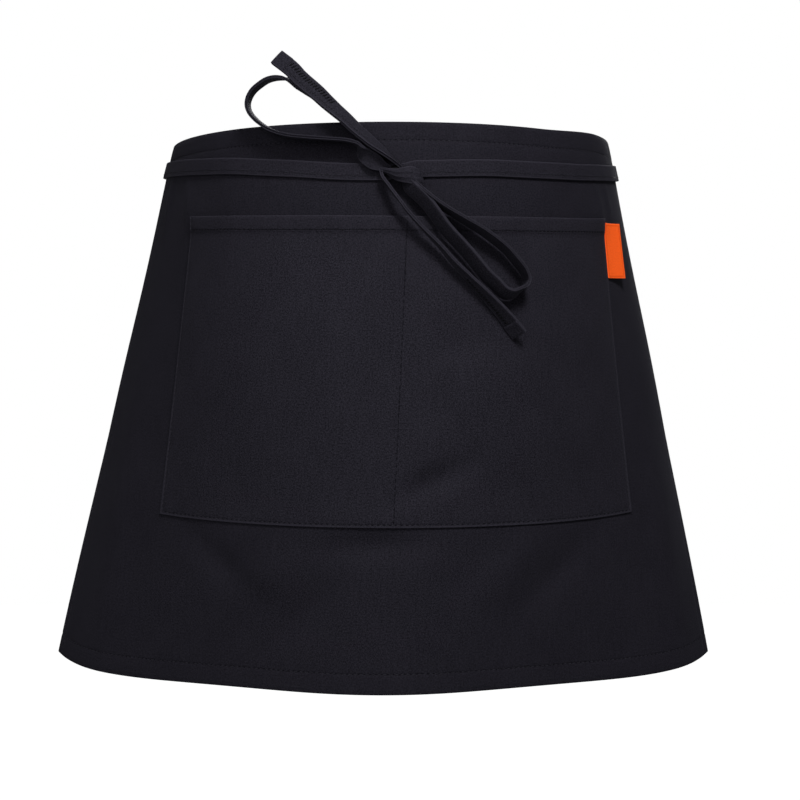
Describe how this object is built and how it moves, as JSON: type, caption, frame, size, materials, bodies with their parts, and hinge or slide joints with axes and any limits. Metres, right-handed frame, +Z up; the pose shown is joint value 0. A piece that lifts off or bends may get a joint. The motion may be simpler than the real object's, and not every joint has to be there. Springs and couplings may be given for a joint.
{
  "type": "waist apron",
  "caption": "Flared waist apron in its worn form, with a wide patch pocket stitched into two and flat ties that cross behind and end in a front bow.",
  "frame": {"origin": "middle of the waist opening at the height of the wearer's waist, 30 mm below the middle of the top edge", "axes": "+Z up along the wearer's body, -Y out of the front, +X to the viewer's right"},
  "size_m": [0.4946, 0.3092, 0.4511],
  "materials": {
    "twill": "matte blue-black twill with a faint diagonal rib",
    "label_weave": "bright orange woven tape, slightly smooth"
  },
  "bodies": {
    "root": {"skirt": "twill", "patch_pocket": "twill", "side_label": "label_weave", "tie_from_left": "twill", "tie_from_right": "twill", "bow_knot": "twill", "bow_loop_upper": "twill", "bow_loop_lower": "twill", "tie_end_upper": "twill", "tie_end_lower": "twill"}
  },
  "joints": []
}
